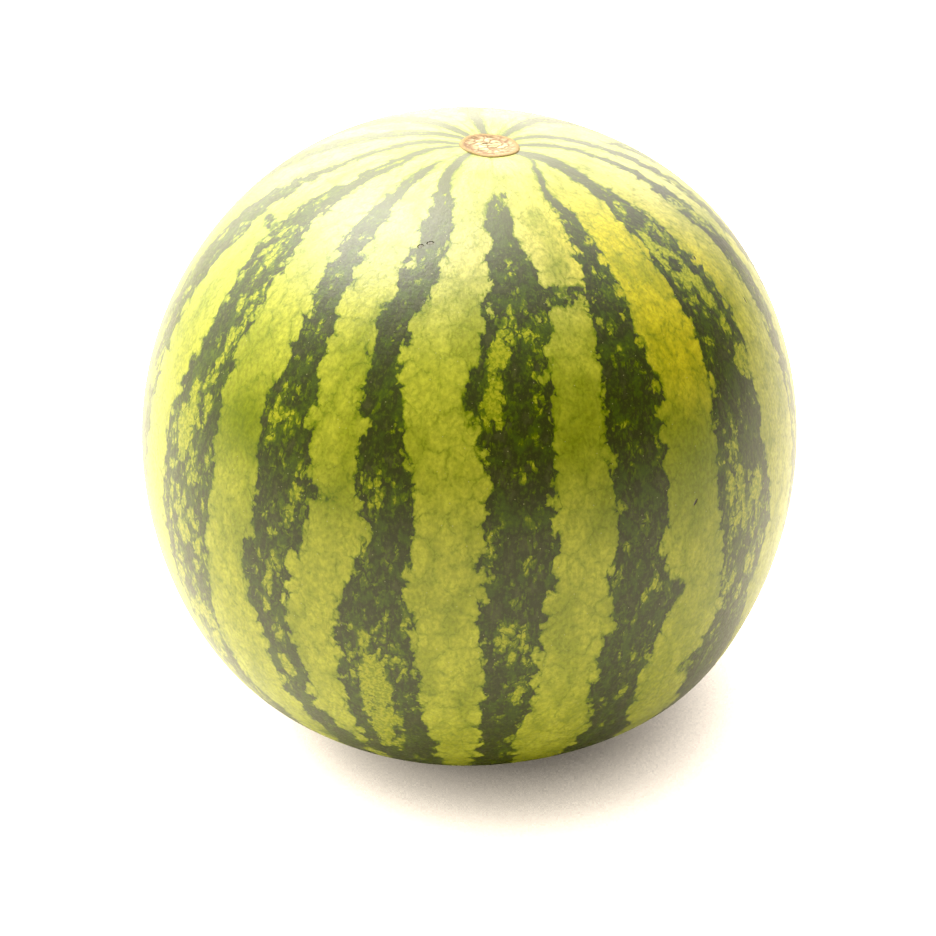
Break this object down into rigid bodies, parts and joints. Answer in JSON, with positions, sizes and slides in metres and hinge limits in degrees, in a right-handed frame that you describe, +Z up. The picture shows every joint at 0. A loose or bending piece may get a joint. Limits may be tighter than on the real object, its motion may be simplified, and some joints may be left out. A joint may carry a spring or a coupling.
{
  "type": "watermelon",
  "caption": "Whole round watermelon, pale green with dark jagged stripes from stem scar to blossom end, standing on a small flat spot.",
  "frame": {"origin": "middle of the bounding box on the plane of the flat spot that the fruit rests on, at its blossom end", "axes": "+Z up through the fruit towards the stem scar, -Y towards the front, +X to the right as seen from the front; the stem end leans 3.3 degrees towards +X"},
  "size_m": [0.2402, 0.24, 0.2323],
  "materials": {
    "rind": "satin",
    "cork": "matte"
  },
  "bodies": {
    "root": {"watermelon": "rind"}
  },
  "joints": []
}
